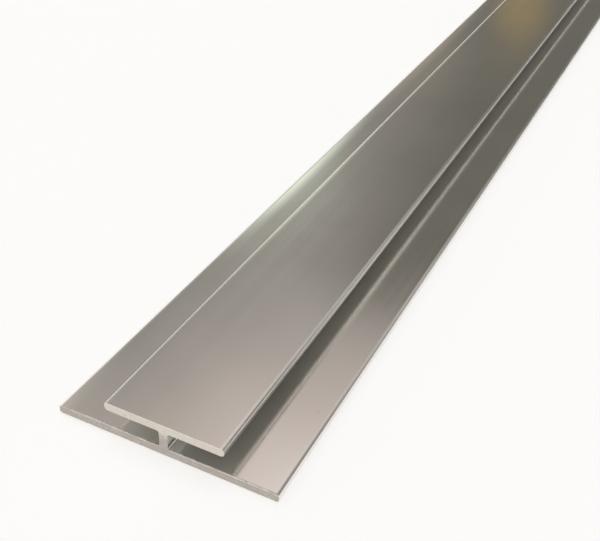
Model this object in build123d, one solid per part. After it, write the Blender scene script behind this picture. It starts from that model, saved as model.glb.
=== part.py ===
from build123d import *
import os

# Panel joiner: one extruded aluminium H section, sawn square from stock.
# A wide base flange lies on the wall, and a narrower face flange covers the joint.
# Millimetres. X runs across the section, Y along the length, and Z up from the
# underside of the base flange. The origin is on that underside, halfway along.

# The sheet that slides in from each side
panel_thickness = 4.0
panel_clearance = 0.2

# Walls of the section
base_thickness = 2.0
face_thickness = 2.0
web_thickness = 2.0

# How far each side reaches: into the slot, and bare beyond the face flange
slot_depth = 13.0
fixing_strip = 12.0

# Rounding that the die leaves on the long edges and in the slots' corners
tip_radius = 0.8
root_radius = 0.5

# Length of one stock piece
stock_length = 1000.0

# Widths and heights that follow from the sizes above
face_width = web_thickness + 2 * slot_depth
base_width = face_width + 2 * fixing_strip
slot_height = panel_thickness + panel_clearance
face_underside = base_thickness + slot_height


def rounding(radius, room):
    """A corner radius, kept just under half of the room it has."""
    return min(radius, 0.48 * room)


def flange(width, thickness, underside):
    """One flat flange with rounded tips, centred over the web."""
    tips = rounding(tip_radius, min(width, thickness))
    return Pos(0, underside + thickness / 2) * RectangleRounded(width, thickness, tips)


def web():
    """The upright wall between the flanges, let into each by half its thickness."""
    foot = base_thickness / 2
    head = face_underside + face_thickness / 2
    return Pos(0, (foot + head) / 2) * Rectangle(web_thickness, head - foot)


def root_corners(outline):
    """The inside corners where the web runs into the flanges."""
    return outline.vertices().filter_by_position(Axis.X, -web_thickness, web_thickness)


def section():
    """The whole H outline, with filleted roots."""
    outline = flange(base_width, base_thickness, 0)
    outline += flange(face_width, face_thickness, face_underside)
    outline += web()
    return fillet(root_corners(outline), rounding(root_radius, slot_height))


def h_profile():
    """The section drawn through the die and sawn square at both ends."""
    return extrude(Plane.XZ * section(), stock_length / 2, both=True)


os.makedirs("parts", exist_ok=True)
export_step(h_profile(), "parts/h_profile.step")
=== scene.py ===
"""One metre of mill-finish aluminium H section, sawn square, lying on a pale floor."""

import math
from collections import namedtuple

import bpy
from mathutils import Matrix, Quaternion, Vector
from mathutils.geometry import delaunay_2d_cdt
from mathutils.noise import noise


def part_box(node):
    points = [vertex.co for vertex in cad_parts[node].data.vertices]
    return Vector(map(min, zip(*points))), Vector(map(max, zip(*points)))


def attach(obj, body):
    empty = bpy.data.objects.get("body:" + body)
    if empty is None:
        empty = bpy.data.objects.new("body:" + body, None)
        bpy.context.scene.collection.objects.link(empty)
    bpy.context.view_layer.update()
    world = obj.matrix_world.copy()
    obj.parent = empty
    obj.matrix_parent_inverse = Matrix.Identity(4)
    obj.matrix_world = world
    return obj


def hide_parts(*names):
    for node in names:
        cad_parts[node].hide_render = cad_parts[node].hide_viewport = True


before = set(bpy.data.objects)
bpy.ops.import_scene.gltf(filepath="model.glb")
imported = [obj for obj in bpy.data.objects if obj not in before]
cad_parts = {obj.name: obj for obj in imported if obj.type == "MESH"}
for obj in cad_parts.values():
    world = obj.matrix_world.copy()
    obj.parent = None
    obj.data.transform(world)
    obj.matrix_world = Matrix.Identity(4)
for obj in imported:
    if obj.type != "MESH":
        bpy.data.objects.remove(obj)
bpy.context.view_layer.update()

# One millimetre, in the scene's metres
MM = 0.001

# The finishes that a face of the stock can have, in the order of its materials
SKIN, SAWN, SLOT, TIP = range(4)


def outer_sizes(node):
    """Width, length and height of a solid of the frame, in millimetres to the nearest micron."""
    low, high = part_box(node)
    return [round((end - start) / MM, 3) for start, end in zip(low, high)]


# The section, in millimetres: the outer sizes from the frame, the others as the die was cut
base_width, stock_length, face_top = outer_sizes("h_profile")
half_length = stock_length / 2
face_width = 28.0
wall = 2.0
face_underside = face_top - wall
root_radius = 0.5

# Rounding of the flanges' edges, in millimetres. On top it is tip_lead wide and tip_radius
# high. Below, it is tip_radius on the base flange and lower_tip_radius on the face flange.
tip_radius = 0.55
tip_lead = 0.95
lower_tip_radius = 0.85

# How far each flange's top falls away at its left edge, and over what width, in millimetres.
# The fall is full down to a share of the rounding's height, and gone at the rounding's foot.
base_thinning = 0.13
base_thinning_width = 4.2
face_thinning = 0.05
face_thinning_width = 1.6
thinning_full_share = 0.3

# Fineness of the outline and of the sawn faces, in millimetres or steps
strip_column = 0.30
hidden_column = 0.60
underside_column = 1.00
edge_column = 0.20
web_column = 0.40
tip_steps = 7
lead_steps = 16
root_steps = 4
end_face_grain = 0.32
grain_shift = 0.08
rim_clearance = 0.6 * end_face_grain
tip_clearance = 1.5 * rim_clearance

# Rings of the mesh along the stock, in millimetres from a sawn end, and evenly in between
end_rings = (0.0, 0.07, 0.15, 0.26, 0.4, 0.6, 0.9, 1.4, 2.2, 3.4, 5.0, 7.0, 9.5, 12.5, 16.0, 20.0)
middle_from_near_end = 26.0
middle_from_far_end = 22.0
middle_step = 13.0

# Slack for telling on which part of the outline a point lies, in millimetres
slack = 0.01

# Edges of the mesh sharper than this many degrees are not smoothed over
crease_angle = 40

# Filling of a sawn face: points closer than this are one, and only triangles inside are kept
same_point = 1e-6
INSIDE = 1

# What the die leaves along the flats, in millimetres: fine and broad lines, and a slow wander
die_line_depth = 0.0025
fine_line_share = 0.6
fine_lines_across_per_mm = 1.7
fine_lines_up_per_mm = 3.1
fine_line_seed = 4.0
broad_lines_across_per_mm = 0.55
broad_line_seed = 9.0
wander_depth = 0.010
wander_across = 14.0
wander_up = 9.0
wander_along = 42.0

# What the saw leaves at each end, in millimetres: torn grain, and arcs round the blade's
# centre, which lies to one side of the section and below it. The arcs waver by some radians.
saw_setback = 0.10
saw_mark_depth = 0.035
saw_mark_share = 0.45
saw_mark_pitch = 0.9
saw_mark_reach = 4.0
blade_aside = 60.0
blade_below = 85.0
blade_waver = 2.0
blade_waver_size = 3.0
torn_grain_per_mm = 2.6
torn_grain_seed = 3.0

# The ragged lip that the saw turns up on the base flange, in millimetres: how far it reaches
# along the stock, how high it is in general, and how high on the side where the blade leaves
# the metal. From bright_burr up it has the sawn finish: torn metal, with the painted highlight along the
# rim.
burr_reach = 0.16
common_burr = 0.05
exit_burr = 0.14
exit_side_starts = 9.0
exit_side_full = 14.0
bright_burr = 0.02
lip_starts_below_top = 0.3
lip_ends_above_top = 0.1
even_burr = 0.55
coarse_burr = 0.9
coarse_burr_per_mm = 1.3
coarse_burr_seed = 2.0
coarse_burr_end_seed = 7.0
fine_burr = 0.6
fine_burr_per_mm = 3.7
fine_burr_seed = 5.0

# Drawn skin: cloudy patches between two shades, a few darker specks and fine lines. Patches,
# spacings and depths are in millimetres, and a speck's size is a share of the spacing. The
# lines' number is per millimetre across the stock, and their run is the same along it.
mill_light = (0.87, 0.84, 0.80)
mill_dark = (0.82, 0.79, 0.75)
mill_speck = (0.70, 0.67, 0.63)
mill_roughness = 0.13
tip_roughness = 0.27
cloud_spread = 0.02
streak_spread = 0.015
skin_patch = 26.0
mill_speck_spacing = 7.0
mill_speck_size = 0.05
skin_lines_per_mm = 2.2
skin_line_run = 0.003
skin_bump = 0.10
skin_bump_depth = 0.02

# Slots: plain skin up to a height, in millimetres, and matt from another one on, where the colour is also
# painted paler as light bounced inside the slot
slot_roof_painted_light = (0.95, 0.965, 0.945)
slot_roughness = 0.62
matt_and_painted_light_starts = 2.5
matt_and_painted_light_full = 4.0

# Sawn ends: painted darker low down as shade and paler above as light, with small specks. Heights, patches,
# spacing and depth are in millimetres.
sawn_painted_shade = (0.56, 0.515, 0.47)
sawn_painted_light = (0.82, 0.76, 0.70)
sawn_speck = (0.76, 0.71, 0.66)
sawn_roughness = 0.66
sawn_roughness_spread = 0.06
painted_light_from = 3.5
painted_light_full = 6.8
sawn_patch = 1.1
sawn_patchiness = 0.35
sawn_speck_spacing = 0.8
sawn_speck_size = 0.36
sawn_bump = 0.4
sawn_bump_depth = 0.05

# A painted highlight on the torn rim along the sawn ends' upper edges, in millimetres from the edge: it
# starts below it, ends above the burr, and on the base flange it keeps off the web
torn_highlight_colour = (0.97, 0.95, 0.92)
torn_highlight_patch = 2.2
torn_highlight_least = 0.1
rim_starts_below = 0.30
rim_full_below = 0.12
rim_full_above = 0.30
rim_ends_above = 0.40
rim_off_web = 0.1
rim_full_off_web = 0.6

# Nearly all values of a noise texture lie between these two
noise_low = 0.3
noise_high = 0.7

# A Mix node's two colour inputs and its colour output, by their numbers
MIX_FIRST, MIX_SECOND, MIX_RESULT = 6, 7, 2

# The pale floor and the sweep that it turns up into, in metres, degrees or steps
floor_rings = (0.3, 1.0, 3.0)
floor_radius = 9.0
floor_spokes = 96
sweep_radius = 3.0
sweep_turn = 60.0
sweep_steps = 20
floor_colour = (0.90, 0.90, 0.90)
floor_roughness = 0.9
floor_shine = 0.2
floor_glow = 0.42

# The studio round the stock. A turn is in degrees to the left of the stock's far end as seen
# from the near one, and a height in degrees above the floor. Its walls get paler to both sides.
far_wall = (0.31, 0.30, 0.28)
side_wall = (0.62, 0.62, 0.60)
side_walls_start = 58.0
side_walls_full = 84.0

# A broad light overhead, dimmer straight above
overhead = (1.05, 1.05, 1.05)
overhead_starts = 50.0
overhead_full = 78.0
zenith = (0.58, 0.58, 0.57)
zenith_starts = 66.0
zenith_full = 80.0

# A dark card beyond the far end. Its left side leans, and stands at dark_card_side where it is
# dark_card_lean_height up. Its right part is paler and higher, and its edges are blurred by so
# many degrees to either side.
dark_card = (0.155, 0.152, 0.135)
dark_card_top = 37.3
dark_card_top_blur = 0.7
dark_card_side = 19.6
dark_card_side_blur = 5.5
dark_card_lean = 0.25
dark_card_lean_height = 30.0
dark_card_far_side = -45.0
dark_card_far_blur = 10.0
right_card = (0.190, 0.192, 0.182)
right_card_starts = 3.0
right_card_full = -4.0
right_card_rise = 14.0

# Soft round lights on the walls: full within one angle of their middle, gone beyond another.
# A flat flange mirrors a light where the eye looks at it along the light's turn and down by
# its height, so high lights show at the near end and low ones further along.
Light = namedtuple("Light", "turn height full gone colour level")
studio_lights = (
    # Over the near end: a high broad one, and three faint ones below it
    Light(turn=16.8, height=59.9, full=0.0, gone=27.0, colour=(1.24, 1.0, 0.95), level=0.67),
    Light(turn=24.5, height=48.5, full=0.0, gone=4.5, colour=(0.5, 1.0, 1.3), level=0.11),
    Light(turn=29.0, height=43.0, full=0.0, gone=4.5, colour=(1.1, 1.0, 0.95), level=0.07),
    Light(turn=24.0, height=38.0, full=0.0, gone=4.5, colour=(0.95, 1.0, 0.98), level=0.05),
    # Lower, for the flats further along: three strong ones, and two small faint ones
    Light(turn=28.2, height=25.6, full=0.0, gone=6.8, colour=(0.86, 1.04, 0.85), level=0.95),
    Light(turn=34.0, height=18.5, full=0.0, gone=7.0, colour=(0.95, 1.0, 0.88), level=0.95),
    Light(turn=38.0, height=9.0, full=0.0, gone=8.0, colour=(0.95, 1.0, 0.88), level=0.80),
    Light(turn=18.4, height=19.4, full=0.5, gone=4.6, colour=(1.3, 1.0, 0.5), level=0.09),
    Light(turn=11.6, height=17.6, full=0.5, gone=2.4, colour=(1.65, 1.0, 0.0), level=0.14),
    # To the right, for the rounded right edges
    Light(turn=-5.0, height=39.5, full=0.0, gone=9.0, colour=(1.0, 1.0, 0.95), level=0.60),
    Light(turn=-17.5, height=37.0, full=0.0, gone=10.0, colour=(1.0, 1.0, 0.95), level=0.48),
    Light(turn=-28.0, height=31.0, full=0.0, gone=10.0, colour=(1.0, 1.0, 0.95), level=0.55),
    Light(turn=-15.0, height=29.0, full=0.0, gone=8.0, colour=(0.9, 1.0, 0.9), level=0.05),
    # Far to the left, for the left edges, which fall away
    Light(turn=56.0, height=40.0, full=0.0, gone=13.5, colour=(1.1, 1.0, 0.93), level=0.46),
    Light(turn=72.0, height=20.0, full=0.0, gone=25.0, colour=(1.0, 0.96, 0.90), level=0.66),
)

# The camera's place in metres, its angles in degrees, its lens and film width in millimetres,
# and how near it sees, in metres
camera_at = (0.07666, -0.60593, 0.13615)
camera_turn = 24.620
camera_tilt = 55.187
camera_roll = 2.845
camera_lens = 54.48
camera_film = 36.0
camera_clip = 0.01


# Outline of the section


def smooth_rise(value, low, high):
    """0 below low, 1 above high, and a smooth rise between."""
    t = min(1.0, max(0.0, (value - low) / (high - low)))
    return t * t * (3 - 2 * t)


def straight(start, end, column):
    """Points from start up to but not at end, about one column apart."""
    (x0, z0), (x1, z1) = start, end
    steps = max(1, round(math.hypot(x1 - x0, z1 - z0) / column))
    return [(x0 + (x1 - x0) * i / steps, z0 + (z1 - z0) * i / steps) for i in range(steps)]


def bend(centre, radius, start, turn, steps):
    """Points round a corner, from the start angle through turn degrees, without the last."""
    cx, cz = centre
    angles = [math.radians(start + turn * i / steps) for i in range(steps)]
    return [(cx + radius * math.cos(a), cz + radius * math.sin(a)) for a in angles]


def soft_edge(flange_width, top):
    """Points over a flange's upper right edge, from its side to where the flat begins."""
    flat_end = flange_width / 2 - tip_lead
    angles = [math.tau / 4 * i / lead_steps for i in range(lead_steps)]
    return [(flat_end + tip_lead * math.cos(a), top - tip_radius * (1 - math.sin(a))) for a in angles]


def base_half():
    """The right half of the base flange: from under the web, round its edge, back to the web."""
    side, root = base_width / 2, wall / 2 + root_radius
    points = straight((0, 0), (side - tip_radius, 0), underside_column)
    points += bend((side - tip_radius, tip_radius), tip_radius, -90, 90, tip_steps)
    points += straight((side, tip_radius), (side, wall - tip_radius), edge_column)
    points += soft_edge(base_width, wall)
    points += straight((side - tip_lead, wall), (face_width / 2, wall), strip_column)
    points += straight((face_width / 2, wall), (root, wall), hidden_column)
    return points


def web_side():
    """The web's right side, with the rounded corners below and above it."""
    web, root = wall / 2, wall / 2 + root_radius
    points = bend((root, wall + root_radius), root_radius, -90, -90, root_steps)
    points += straight((web, wall + root_radius), (web, face_underside - root_radius), web_column)
    points += bend((root, face_underside - root_radius), root_radius, 180, -90, root_steps)
    return points


def face_half():
    """The right half of the face flange: from the web, round its edge, to the middle of its top."""
    side, root = face_width / 2, wall / 2 + root_radius
    tip, tip_top = side - lower_tip_radius, face_underside + lower_tip_radius
    points = straight((root, face_underside), (tip, face_underside), hidden_column)
    points += bend((tip, tip_top), lower_tip_radius, -90, 90, tip_steps)
    points += straight((side, tip_top), (side, face_top - tip_radius), edge_column)
    points += soft_edge(face_width, face_top)
    points += straight((side - tip_lead, face_top), (0, face_top), strip_column)
    return points


def section_outline():
    """The whole H, once round anticlockwise as seen from the near end."""
    right = base_half() + web_side() + face_half()
    left = [(-x, z) for x, z in reversed(right[1:])]
    return right + [(0, face_top)] + left


def outward(outline):
    """The outline's outward direction at each of its points."""
    directions = []
    for i, (x, z) in enumerate(outline):
        before, after = outline[i - 1], outline[(i + 1) % len(outline)]
        along = Vector((after[0] - before[0], after[1] - before[1])).normalized()
        directions.append((along.y, -along.x))
    return directions


# What the die and the saw leave


def uneven(first, second, third):
    """A smooth uneven value, about -1 to 1, that changes over a distance of about 1."""
    return noise(Vector((first, second, third)))


def raised(value):
    """A value from -1 to 1 as one from 0 to 1."""
    return 0.5 + 0.5 * value


def thinning(x, z):
    """How far a flange's upper face falls away towards its left edge."""
    if z < wall + slack:
        top, half_width, depth, width = wall, base_width / 2, base_thinning, base_thinning_width
    else:
        top, half_width, depth, width = face_top, face_width / 2, face_thinning, face_thinning_width
    share = max(0.0, 1 - (half_width + x) / width)
    on_top = smooth_rise(z, top - tip_radius, top - thinning_full_share * tip_radius)
    return depth * share * share * on_top


def die_relief(x, z, y):
    """How far a point of the skin lies in from the full section: die lines and slow wander."""
    fine = uneven(x * fine_lines_across_per_mm, z * fine_lines_up_per_mm, fine_line_seed)
    broad = uneven(x * broad_lines_across_per_mm, z, broad_line_seed)
    lines = fine_line_share * fine + (1 - fine_line_share) * broad
    wander = uneven(x / wander_across, z / wander_up, y / wander_along)
    return die_line_depth * raised(lines) + wander_depth * raised(wander)


def burr_height(x, z, end):
    """The ragged lip that the saw turns up on the base flange's upper edge."""
    on_edge = wall - lip_starts_below_top < z < wall + lip_ends_above_top
    if not on_edge or abs(x) <= wall:
        return 0.0
    coarse = uneven(x * coarse_burr_per_mm, coarse_burr_seed, end * coarse_burr_end_seed)
    fine = uneven(x * fine_burr_per_mm, fine_burr_seed, end)
    ragged = even_burr + coarse_burr * coarse + fine_burr * fine
    exit_side = smooth_rise(end * -x, exit_side_starts, exit_side_full)
    return max(0.0, ragged) * (common_burr + (exit_burr - common_burr) * exit_side)


def saw_marks(x, z, end):
    """How far the sawn face lies in from the full length: arcs of the blade, and torn grain."""
    swing = math.hypot(x - end * blade_aside, z + blade_below)
    waver = blade_waver * uneven(x / blade_waver_size, z / blade_waver_size, end)
    marks = raised(math.sin(swing * math.tau / saw_mark_pitch + waver))
    grain = raised(uneven(x * torn_grain_per_mm, z * torn_grain_per_mm, end * torn_grain_seed))
    return saw_setback + saw_mark_depth * (saw_mark_share * marks + (1 - saw_mark_share) * grain)


# Mesh of the stock


def in_slot(x, z):
    """True for the skin between the flanges, where the panels go."""
    return abs(x) < face_width / 2 - tip_radius and wall - slack < z < face_underside + slack


def on_tip(x, z):
    """True for the rounded edges of both flanges."""
    half_width = base_width / 2 if z <= wall else face_width / 2
    return abs(x) > half_width - tip_lead - slack


def stations():
    """Places along the length, closer together near the sawn ends."""
    near = [-half_length + ring for ring in end_rings]
    far = [half_length - ring for ring in reversed(end_rings)]
    start, stop = -half_length + middle_from_near_end, half_length - middle_from_far_end
    middle = [start + middle_step * i for i in range(math.ceil((stop - start) / middle_step))]
    return near + middle + far


def nearer_end(place):
    """The sawn end that a place along the length is nearer to: -1 near the eye, 1 far away."""
    return -1.0 if place < 0 else 1.0


def skin_point(corner, outside, place):
    """Where a point of the outline lies on the finished skin, in metres."""
    (x, z), (out_x, out_z) = corner, outside
    end, from_end = nearer_end(place), half_length - abs(place)
    depth = die_relief(x, z, place)
    lip = burr_height(x, z, end) * (1 - smooth_rise(from_end, 0.0, burr_reach))
    sawn = saw_marks(x, z, end) * (1 - smooth_rise(from_end, 0.0, saw_mark_reach))
    up = z - out_z * depth - thinning(x, z) + lip
    return ((x - out_x * depth) * MM, (place - end * sawn) * MM, up * MM)


def skin_finish(corner, next_corner, place):
    """The finish of the skin between two neighbouring points of the outline."""
    end, from_end = nearer_end(place), half_length - abs(place)
    if from_end < burr_reach and burr_height(*corner, end) > bright_burr:
        return SAWN
    if in_slot(*corner) and in_slot(*next_corner):
        return SLOT
    if on_tip(*corner) and on_tip(*next_corner):
        return TIP
    return SKIN


def drawn_skin(outline, places):
    """The skin from one sawn end to the other: its points, its faces and their finishes."""
    outside = outward(outline)
    count = len(outline)
    points, faces, finish = [], [], []
    for place in places:
        points += [skin_point(*pair, place) for pair in zip(outline, outside)]
    for row, place in enumerate(places[:-1]):
        a, b = row * count, (row + 1) * count
        for i in range(count):
            j = (i + 1) % count
            faces.append((a + i, b + i, b + j, a + j))
            finish.append(skin_finish(outline[i], outline[j], place))
    return points, faces, finish


def well_inside(x, z):
    """True for a point of the section that keeps clear of its outline."""
    in_base = rim_clearance < z < wall - rim_clearance and abs(x) < base_width / 2 - tip_clearance
    in_face = (face_underside + rim_clearance < z < face_top - rim_clearance
               and abs(x) < face_width / 2 - tip_clearance)
    in_web = abs(x) < wall / 2 - rim_clearance and rim_clearance < z < face_top - rim_clearance
    return in_base or in_face or in_web


def grain_points(end):
    """A fine grain of points within one sawn face, in staggered rows."""
    columns = round(base_width / end_face_grain)
    rows = round(face_top / end_face_grain)
    points = []
    for row in range(1, rows):
        z = face_top * row / rows
        for column in range(columns + 1):
            x = -base_width / 2 + base_width * (column + 0.5 * (row % 2)) / columns
            x += grain_shift * uneven(column, row, end)
            if well_inside(x, z):
                points.append((x, z))
    return points


def add_sawn_face(end, ring, outline, points, faces, finish):
    """Adds one sawn face to the mesh, joined to the skin's points from number ring on."""
    count = len(outline)
    flat = [Vector(p) for p in outline + grain_points(end)]
    edges = [(i, (i + 1) % count) for i in range(count)]
    filled = delaunay_2d_cdt(flat, edges, [], INSIDE, same_point)
    flat_points, triangles, sources = filled[0], filled[2], filled[3]
    index = []
    for point, source in zip(flat_points, sources):
        on_rim = [s for s in source if s < count]
        if on_rim:
            index.append(ring + on_rim[0])
            continue
        index.append(len(points))
        along = end * (half_length - saw_marks(point.x, point.y, end))
        points.append((point.x * MM, along * MM, point.y * MM))
    for triangle in triangles:
        corners = [index[i] for i in triangle]
        faces.append(corners if end < 0 else corners[::-1])
        finish.append(SAWN)


def stock_mesh():
    """The stock's skin and both sawn faces as one closed mesh."""
    outline = section_outline()
    places = stations()
    points, faces, finish = drawn_skin(outline, places)
    last_ring = len(points) - len(outline)
    add_sawn_face(-1.0, 0, outline, points, faces, finish)
    add_sawn_face(1.0, last_ring, outline, points, faces, finish)
    mesh = bpy.data.meshes.new("mill_finish_profile")
    mesh.from_pydata(points, [], faces)
    mesh.validate()
    for face, kind in zip(mesh.polygons, finish):
        face.material_index = kind
        face.use_smooth = True
    mesh.set_sharp_from_angle(angle=math.radians(crease_angle))
    return mesh


# Building blocks of the finishes


def new_group(name, inputs, outputs):
    """An empty node group with named inputs and outputs."""
    group = bpy.data.node_groups.new(name, "ShaderNodeTree")
    for label, kind, value in inputs:
        socket = group.interface.new_socket(label, in_out="INPUT", socket_type=kind)
        if value is not None:
            socket.default_value = value
    for label, kind in outputs:
        group.interface.new_socket(label, in_out="OUTPUT", socket_type=kind)
    return group, group.nodes.new("NodeGroupInput"), group.nodes.new("NodeGroupOutput")


def feed(tree, socket, term):
    """Gives a socket its value: another socket, or a plain number."""
    if isinstance(term, (int, float)):
        socket.default_value = term
    else:
        tree.links.new(term, socket)


def math_node(tree, operation, first, second=None):
    """One step of arithmetic; each term is a socket or a number."""
    node = tree.nodes.new("ShaderNodeMath")
    node.operation = operation
    feed(tree, node.inputs[0], first)
    if second is not None:
        feed(tree, node.inputs[1], second)
    return node.outputs[0]


def vector_node(tree, operation, first, second):
    """One step of arithmetic with two vectors, both of them sockets."""
    node = tree.nodes.new("ShaderNodeVectorMath")
    node.operation = operation
    tree.links.new(first, node.inputs[0])
    tree.links.new(second, node.inputs[1])
    return node


def split(tree, vector):
    """The X, Y and Z outputs of a vector."""
    node = tree.nodes.new("ShaderNodeSeparateXYZ")
    tree.links.new(vector, node.inputs[0])
    return node.outputs


def noise_texture(tree, vector, scale, detail, roughness=0.5):
    """The value of a noise texture, mostly between noise_low and noise_high."""
    node = tree.nodes.new("ShaderNodeTexNoise")
    tree.links.new(vector, node.inputs["Vector"])
    feed(tree, node.inputs["Scale"], scale)
    node.inputs["Detail"].default_value = detail
    node.inputs["Roughness"].default_value = roughness
    return node.outputs["Fac"]


def spread_value(tree, value, low, high):
    """A noise texture's value turned into low to high."""
    node = tree.nodes.new("ShaderNodeMapRange")
    tree.links.new(value, node.inputs["Value"])
    node.inputs["From Min"].default_value = noise_low
    node.inputs["From Max"].default_value = noise_high
    node.inputs["To Min"].default_value = low
    node.inputs["To Max"].default_value = high
    return node.outputs["Result"]


def band(tree, value, low, high):
    """A mask that rises smoothly from 0 at low to 1 at high; low may be the larger one."""
    node = tree.nodes.new("ShaderNodeMapRange")
    node.interpolation_type = "SMOOTHSTEP"
    tree.links.new(value, node.inputs["Value"])
    node.inputs["From Min"].default_value = min(low, high)
    node.inputs["From Max"].default_value = max(low, high)
    node.inputs["To Min"].default_value = 0.0 if low < high else 1.0
    node.inputs["To Max"].default_value = 1.0 if low < high else 0.0
    return node.outputs["Result"]


def blend_colour(tree, share, first, second):
    """A colour between two, by share."""
    node = tree.nodes.new("ShaderNodeMix")
    node.data_type = "RGBA"
    tree.links.new(share, node.inputs["Factor"])
    for socket, colour in ((node.inputs[MIX_FIRST], first), (node.inputs[MIX_SECOND], second)):
        if isinstance(colour, tuple):
            socket.default_value = (*colour, 1.0)
        else:
            tree.links.new(colour, socket)
    return node.outputs[MIX_RESULT]


def bump(tree, shader, height, strength, depth):
    """Roughens the shader's surface by a height, as deep as so many millimetres."""
    node = tree.nodes.new("ShaderNodeBump")
    node.inputs["Strength"].default_value = strength
    node.inputs["Distance"].default_value = depth * MM
    tree.links.new(height, node.inputs["Height"])
    tree.links.new(node.outputs["Normal"], shader.inputs["Normal"])


def drawn_lines_group():
    """Fine lines along the stock: a height, and a mask of where they lie close together."""
    group, given, out = new_group(
        "drawn_lines",
        [("Position", "NodeSocketVector", None), ("Lines per mm", "NodeSocketFloat", 3.0),
         ("Run", "NodeSocketFloat", 0.004)],
        [("Height", "NodeSocketFloat"), ("Crowding", "NodeSocketFloat")])
    across = math_node(group, "MULTIPLY", given.outputs["Lines per mm"], 1 / MM)
    along = math_node(group, "MULTIPLY", given.outputs["Run"], 1 / MM)
    stretch = group.nodes.new("ShaderNodeCombineXYZ")
    group.links.new(across, stretch.inputs["X"])
    group.links.new(along, stretch.inputs["Y"])
    group.links.new(across, stretch.inputs["Z"])
    scaled = vector_node(group, "MULTIPLY", given.outputs["Position"], stretch.outputs[0])
    lines = noise_texture(group, scaled.outputs[0], scale=1.0, detail=3.0, roughness=0.6)
    crowding = noise_texture(group, scaled.outputs[0], scale=0.23, detail=1.0)
    group.links.new(lines, out.inputs["Height"])
    group.links.new(crowding, out.inputs["Crowding"])
    return group


def cloud_group():
    """Soft cloudy patches of a given size."""
    group, given, out = new_group(
        "cloudy_patches",
        [("Position", "NodeSocketVector", None), ("Patch mm", "NodeSocketFloat", 20.0)],
        [("Cloud", "NodeSocketFloat")])
    scale = math_node(group, "DIVIDE", 1 / MM, given.outputs["Patch mm"])
    cloud = noise_texture(group, given.outputs["Position"], scale, detail=4.0, roughness=0.55)
    group.links.new(cloud, out.inputs["Cloud"])
    return group


def speck_group():
    """Small specks scattered over a surface, 1 on a speck and 0 between."""
    group, given, out = new_group(
        "specks",
        [("Position", "NodeSocketVector", None), ("Spacing mm", "NodeSocketFloat", 1.0),
         ("Size", "NodeSocketFloat", 0.2)],
        [("Speck", "NodeSocketFloat")])
    cells = group.nodes.new("ShaderNodeTexVoronoi")
    group.links.new(given.outputs["Position"], cells.inputs["Vector"])
    feed(group, cells.inputs["Scale"], math_node(group, "DIVIDE", 1 / MM, given.outputs["Spacing mm"]))
    edge = group.nodes.new("ShaderNodeMapRange")
    edge.interpolation_type = "SMOOTHSTEP"
    group.links.new(cells.outputs["Distance"], edge.inputs["Value"])
    edge.inputs["From Min"].default_value = 0.0
    group.links.new(given.outputs["Size"], edge.inputs["From Max"])
    edge.inputs["To Min"].default_value = 1.0
    edge.inputs["To Max"].default_value = 0.0
    group.links.new(edge.outputs["Result"], out.inputs["Speck"])
    return group


def place_group(tree, group, position, **values):
    """The group as a node of this material, with its own values."""
    node = tree.nodes.new("ShaderNodeGroup")
    node.node_tree = group
    tree.links.new(position, node.inputs["Position"])
    for label, value in values.items():
        node.inputs[label.replace("_", " ")].default_value = value
    return node


# Finishes of the stock


def bare_metal(name):
    """A material with a metal shader in it, its tree, its shader and the object's own position."""
    material = bpy.data.materials.new(name)
    material.use_nodes = True
    tree = material.node_tree
    shader = tree.nodes["Principled BSDF"]
    shader.inputs["Metallic"].default_value = 1.0
    position = tree.nodes.new("ShaderNodeTexCoord").outputs["Object"]
    return material, tree, shader, position


def mill_finish(groups, name, roughness):
    """Skin as it comes from the die: satin, with faint lines along it and soft cloudy patches."""
    material, tree, shader, position = bare_metal(name)
    clouds = place_group(tree, groups["clouds"], position, Patch_mm=skin_patch)
    lines = place_group(tree, groups["lines"], position,
                        Lines_per_mm=skin_lines_per_mm, Run=skin_line_run)
    specks = place_group(tree, groups["specks"], position,
                         Spacing_mm=mill_speck_spacing, Size=mill_speck_size)
    plain = blend_colour(tree, clouds.outputs["Cloud"], mill_dark, mill_light)
    spotted = blend_colour(tree, specks.outputs["Speck"], plain, mill_speck)
    tree.links.new(spotted, shader.inputs["Base Color"])
    rough = spread_value(tree, clouds.outputs["Cloud"], roughness - cloud_spread, roughness + cloud_spread)
    streaks = spread_value(tree, lines.outputs["Crowding"], -streak_spread, streak_spread)
    tree.links.new(math_node(tree, "ADD", rough, streaks), shader.inputs["Roughness"])
    bump(tree, shader, lines.outputs["Height"], skin_bump, skin_bump_depth)
    return material


def slot_finish(groups):
    """Skin inside the slots: the die leaves their upper part matt, and it is painted paler there as light
    bounced inside the slot.
    """
    material, tree, shader, position = bare_metal("slot_aluminium")
    matt = band(tree, split(tree, position)["Z"], matt_and_painted_light_starts * MM, matt_and_painted_light_full * MM)
    clouds = place_group(tree, groups["clouds"], position, Patch_mm=skin_patch)
    skin = blend_colour(tree, clouds.outputs["Cloud"], mill_dark, mill_light)
    # The upper part is matt and painted paler: the paler colour is painted light, standing in for light
    # bounced inside the slot
    tree.links.new(blend_colour(tree, matt, skin, slot_roof_painted_light), shader.inputs["Base Color"])
    rough = math_node(tree, "MULTIPLY", matt, slot_roughness - mill_roughness)
    tree.links.new(math_node(tree, "ADD", rough, mill_roughness), shader.inputs["Roughness"])
    return material


def rim_of(tree, height, top):
    """A mask of the strip along an upper edge at this height."""
    above = band(tree, height, (top - rim_starts_below) * MM, (top - rim_full_below) * MM)
    below = band(tree, height, (top + rim_ends_above) * MM, (top + rim_full_above) * MM)
    return math_node(tree, "MULTIPLY", above, below)


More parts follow.
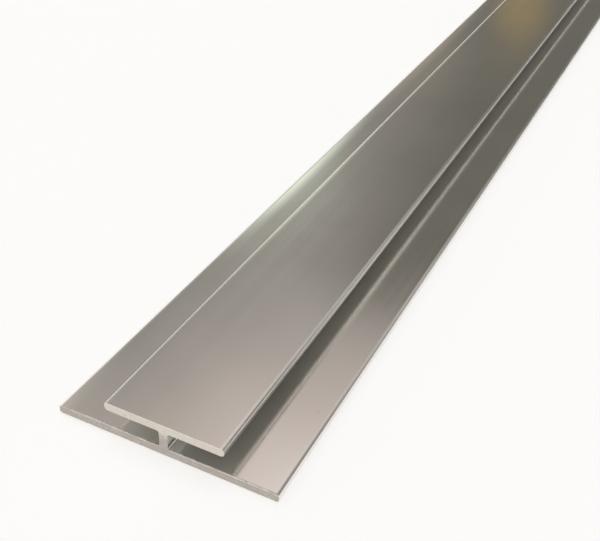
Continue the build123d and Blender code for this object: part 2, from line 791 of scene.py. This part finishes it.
def torn_rim_highlight(tree, groups, position, across, height):
    """A ragged mask of the painted highlight along the torn upper edges of both flanges, off the web on the
    lower one.
    """
    from_middle = math_node(tree, "ABSOLUTE", across)
    off_web = band(tree, from_middle, (wall / 2 + rim_off_web) * MM, (wall / 2 + rim_full_off_web) * MM)
    lower_rim = math_node(tree, "MULTIPLY", rim_of(tree, height, wall), off_web)
    rims = math_node(tree, "ADD", lower_rim, rim_of(tree, height, face_top))
    torn = place_group(tree, groups["clouds"], position, Patch_mm=torn_highlight_patch)
    ragged = spread_value(tree, torn.outputs["Cloud"], torn_highlight_least, 1.0)
    return math_node(tree, "MULTIPLY", rims, ragged)


def sawn_finish(groups):
    """Freshly cut metal: matt, with torn grain and small specks, painted darker low down as shade and paler
    above, and with a painted highlight along the torn rim on top.
    """
    material, tree, shader, position = bare_metal("sawn_aluminium")
    clouds = place_group(tree, groups["clouds"], position, Patch_mm=sawn_patch)
    specks = place_group(tree, groups["specks"], position,
                         Spacing_mm=sawn_speck_spacing, Size=sawn_speck_size)
    axes = split(tree, position)
    # Painted shade low down on the base flange's end, and painted light higher up on the face flange's end
    paler = band(tree, axes["Z"], painted_light_from * MM, painted_light_full * MM)
    patchy = spread_value(tree, clouds.outputs["Cloud"], -sawn_patchiness, sawn_patchiness)
    plain = blend_colour(tree, math_node(tree, "ADD", paler, patchy), sawn_painted_shade, sawn_painted_light)
    spotted = blend_colour(tree, specks.outputs["Speck"], plain, sawn_speck)
    # A painted highlight along the torn upper edges of both flanges
    rim_highlight = torn_rim_highlight(tree, groups, position, axes["X"], axes["Z"])
    tree.links.new(blend_colour(tree, rim_highlight, spotted, torn_highlight_colour), shader.inputs["Base Color"])
    rough = spread_value(tree, clouds.outputs["Cloud"], sawn_roughness - sawn_roughness_spread,
                         sawn_roughness + sawn_roughness_spread)
    tree.links.new(rough, shader.inputs["Roughness"])
    bump(tree, shader, clouds.outputs["Cloud"], sawn_bump, sawn_bump_depth)
    return material


def make_stock():
    """The piece itself, in place of the plain solid."""
    groups = {"lines": drawn_lines_group(), "clouds": cloud_group(), "specks": speck_group()}
    mesh = stock_mesh()
    mesh.materials.append(mill_finish(groups, "mill_aluminium", mill_roughness))
    mesh.materials.append(sawn_finish(groups))
    mesh.materials.append(slot_finish(groups))
    mesh.materials.append(mill_finish(groups, "tip_aluminium", tip_roughness))
    stock = bpy.data.objects.new("mill_finish_profile", mesh)
    bpy.context.scene.collection.objects.link(stock)
    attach(stock, "root")
    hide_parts("h_profile")


# Floor


def floor_profile():
    """Radius and height of each ring of the floor, from its middle out and up the sweep."""
    flat = [(radius, 0.0) for radius in (0.0, *floor_rings, floor_radius)]
    turns = [math.radians(sweep_turn * step / sweep_steps) for step in range(1, sweep_steps + 1)]
    sweep = [(floor_radius + sweep_radius * math.sin(turn), sweep_radius * (1 - math.cos(turn)))
             for turn in turns]
    return flat + sweep


def floor_mesh():
    """The floor's profile turned once round."""
    profile = floor_profile()
    points = [(0.0, 0.0, 0.0)]
    for radius, height in profile[1:]:
        for spoke in range(floor_spokes):
            turn = math.tau * spoke / floor_spokes
            points.append((radius * math.cos(turn), radius * math.sin(turn), height))
    faces = [(0, 1 + s, 1 + (s + 1) % floor_spokes) for s in range(floor_spokes)]
    for ring in range(len(profile) - 2):
        inner, outer = 1 + ring * floor_spokes, 1 + (ring + 1) * floor_spokes
        for s in range(floor_spokes):
            t = (s + 1) % floor_spokes
            faces.append((inner + s, outer + s, outer + t, inner + t))
    mesh = bpy.data.meshes.new("studio_floor")
    mesh.from_pydata(points, [], faces)
    for face in mesh.polygons:
        face.use_smooth = True
    return mesh


def floor_finish():
    """A matt pale floor that looks white to the eye and in the metal, and keeps its shadows."""
    material = bpy.data.materials.new("pale_floor")
    material.use_nodes = True
    tree = material.node_tree
    shader = tree.nodes["Principled BSDF"]
    shader.inputs["Base Color"].default_value = (*floor_colour, 1.0)
    shader.inputs["Roughness"].default_value = floor_roughness
    shader.inputs["Specular IOR Level"].default_value = floor_shine
    shader.inputs["Emission Color"].default_value = (1.0, 1.0, 1.0, 1.0)
    path = tree.nodes.new("ShaderNodeLightPath").outputs
    seen = math_node(tree, "ADD", path["Is Camera Ray"], path["Is Glossy Ray"])
    seen = math_node(tree, "ADD", seen, path["Is Transmission Ray"])
    tree.links.new(math_node(tree, "MULTIPLY", seen, floor_glow), shader.inputs["Emission Strength"])
    return material


def make_floor():
    """A pale floor that turns up into a sweep far away."""
    mesh = floor_mesh()
    mesh.materials.append(floor_finish())
    floor = bpy.data.objects.new("studio_floor", mesh)
    bpy.context.scene.collection.objects.link(floor)


# Studio


def toward(turn, height):
    """The direction turn degrees left of the stock's far end and height degrees up."""
    t, h = math.radians(turn), math.radians(height)
    return (-math.sin(t) * math.cos(h), math.cos(t) * math.cos(h), math.sin(h))


def in_degrees(tree, angle):
    """An angle in radians as one in degrees."""
    return math_node(tree, "MULTIPLY", angle, math.degrees(1.0))


def angles_of(tree, ray):
    """How far left of the stock's far end a ray points, and how high, in degrees."""
    axes = split(tree, ray)
    leftward = math_node(tree, "MULTIPLY", axes["X"], -1.0)
    turn = in_degrees(tree, math_node(tree, "ARCTAN2", leftward, axes["Y"]))
    height = in_degrees(tree, math_node(tree, "ARCSINE", axes["Z"]))
    return turn, height


def soft_light_group():
    """A round soft light on the studio wall: full inside one angle and gone outside another."""
    group, given, out = new_group(
        "soft_light",
        [("Ray", "NodeSocketVector", None), ("Toward", "NodeSocketVector", None),
         ("Full", "NodeSocketFloat", 5.0), ("Gone", "NodeSocketFloat", 10.0),
         ("Colour", "NodeSocketColor", (1, 1, 1, 1)), ("Level", "NodeSocketFloat", 1.0)],
        [("Colour", "NodeSocketColor")])
    facing = vector_node(group, "DOT_PRODUCT", given.outputs["Ray"], given.outputs["Toward"])
    away = in_degrees(group, math_node(group, "ARCCOSINE", facing.outputs["Value"]))
    edge = group.nodes.new("ShaderNodeMapRange")
    edge.interpolation_type = "SMOOTHSTEP"
    group.links.new(away, edge.inputs["Value"])
    group.links.new(given.outputs["Full"], edge.inputs["From Min"])
    group.links.new(given.outputs["Gone"], edge.inputs["From Max"])
    group.links.new(given.outputs["Level"], edge.inputs["To Min"])
    edge.inputs["To Max"].default_value = 0.0
    lit = group.nodes.new("ShaderNodeVectorMath")
    lit.operation = "SCALE"
    group.links.new(given.outputs["Colour"], lit.inputs[0])
    group.links.new(edge.outputs["Result"], lit.inputs["Scale"])
    group.links.new(lit.outputs[0], out.inputs["Colour"])
    return group


def add_light(tree, group, ray, lit, light):
    """The studio's colour so far, with one soft light added to it."""
    node = tree.nodes.new("ShaderNodeGroup")
    node.node_tree = group
    tree.links.new(ray, node.inputs["Ray"])
    node.inputs["Toward"].default_value = toward(light.turn, light.height)
    node.inputs["Full"].default_value = light.full
    node.inputs["Gone"].default_value = light.gone
    node.inputs["Colour"].default_value = (*light.colour, 1.0)
    node.inputs["Level"].default_value = light.level
    return vector_node(tree, "ADD", lit, node.outputs["Colour"]).outputs[0]


def hang_card(tree, turn, height, walls):
    """The walls' colour with the dark card in front of them."""
    further_up = math_node(tree, "SUBTRACT", height, dark_card_lean_height)
    leant = math_node(tree, "SUBTRACT", turn, math_node(tree, "MULTIPLY", further_up, dark_card_lean))
    to_right = band(tree, turn, right_card_starts, right_card_full)
    lowered = math_node(tree, "SUBTRACT", height, math_node(tree, "MULTIPLY", to_right, right_card_rise))
    under = band(tree, lowered, dark_card_top + dark_card_top_blur, dark_card_top - dark_card_top_blur)
    right_of = band(tree, leant, dark_card_side + dark_card_side_blur, dark_card_side - dark_card_side_blur)
    left_of = band(tree, turn, dark_card_far_side - dark_card_far_blur,
                   dark_card_far_side + dark_card_far_blur)
    card = math_node(tree, "MULTIPLY", under, math_node(tree, "MULTIPLY", right_of, left_of))
    return blend_colour(tree, card, walls, blend_colour(tree, to_right, dark_card, right_card))


def make_light():
    """Plain soft light from all round: walls, a dark card, soft lights, and a broad one overhead."""
    world = bpy.data.worlds.new("studio_light")
    bpy.context.scene.world = world
    world.use_nodes = True
    tree = world.node_tree
    ray = tree.nodes.new("ShaderNodeTexCoord").outputs["Generated"]
    turn, height = angles_of(tree, ray)
    aside = band(tree, math_node(tree, "ABSOLUTE", turn), side_walls_start, side_walls_full)
    lit = hang_card(tree, turn, height, blend_colour(tree, aside, far_wall, side_wall))
    group = soft_light_group()
    for light in studio_lights:
        lit = add_light(tree, group, ray, lit, light)
    lit = blend_colour(tree, band(tree, height, overhead_starts, overhead_full), lit, overhead)
    lit = blend_colour(tree, band(tree, height, zenith_starts, zenith_full), lit, zenith)
    tree.links.new(lit, tree.nodes["Background"].inputs["Color"])


def make_camera():
    """The photograph's view: low over the near end, looking along the stock."""
    data = bpy.data.cameras.new("camera")
    data.lens = camera_lens
    data.sensor_width = camera_film
    data.clip_start = camera_clip
    camera = bpy.data.objects.new("camera", data)
    camera.location = camera_at
    camera.rotation_mode = "QUATERNION"
    turn = Quaternion((0, 0, 1), math.radians(camera_turn))
    tilt = Quaternion((1, 0, 0), math.radians(camera_tilt))
    roll = Quaternion((0, 0, 1), math.radians(camera_roll))
    camera.rotation_quaternion = turn @ tilt @ roll
    bpy.context.scene.collection.objects.link(camera)
    bpy.context.scene.camera = camera


make_camera()
make_stock()
make_floor()
make_light()
bpy.context.scene.view_settings.view_transform = "Standard"

bpy.context.view_layer.update()
